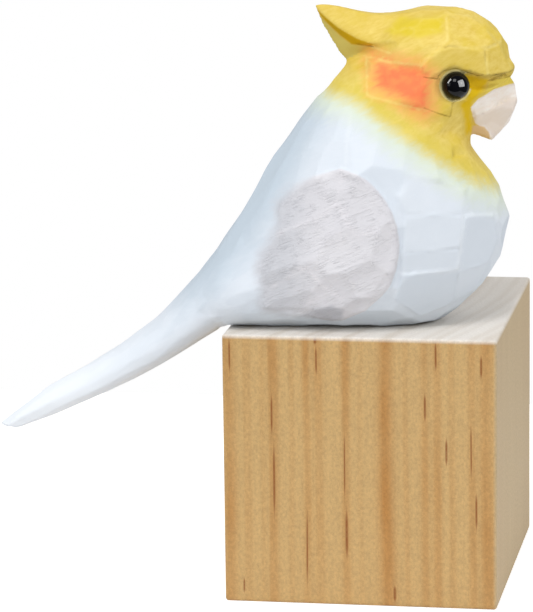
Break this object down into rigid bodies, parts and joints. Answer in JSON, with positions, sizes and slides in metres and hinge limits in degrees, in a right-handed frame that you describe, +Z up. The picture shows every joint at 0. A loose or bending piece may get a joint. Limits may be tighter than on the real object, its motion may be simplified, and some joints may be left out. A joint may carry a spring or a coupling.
{
  "type": "carved parrot figurine on block",
  "caption": "Hand-carved painted wooden cockatiel with a swept crest, bead eyes and a long drooping tail, sitting on a plain pine block.",
  "frame": {"origin": "centre of the block's underside", "axes": "+Z up, +X to the side the bird looks towards, +Y towards the bird's far side"},
  "size_m": [0.1126, 0.072, 0.1302],
  "materials": {
    "painted_wood": "knife-cut facets under matte white, yellow, orange and pearl paint",
    "black_bead": "polished black bead",
    "pine": "planed bare pine"
  },
  "bodies": {
    "root": {"bird_carving": "painted_wood", "eye_right": "black_bead", "eye_left": "black_bead", "wood_block": "pine"}
  },
  "joints": []
}
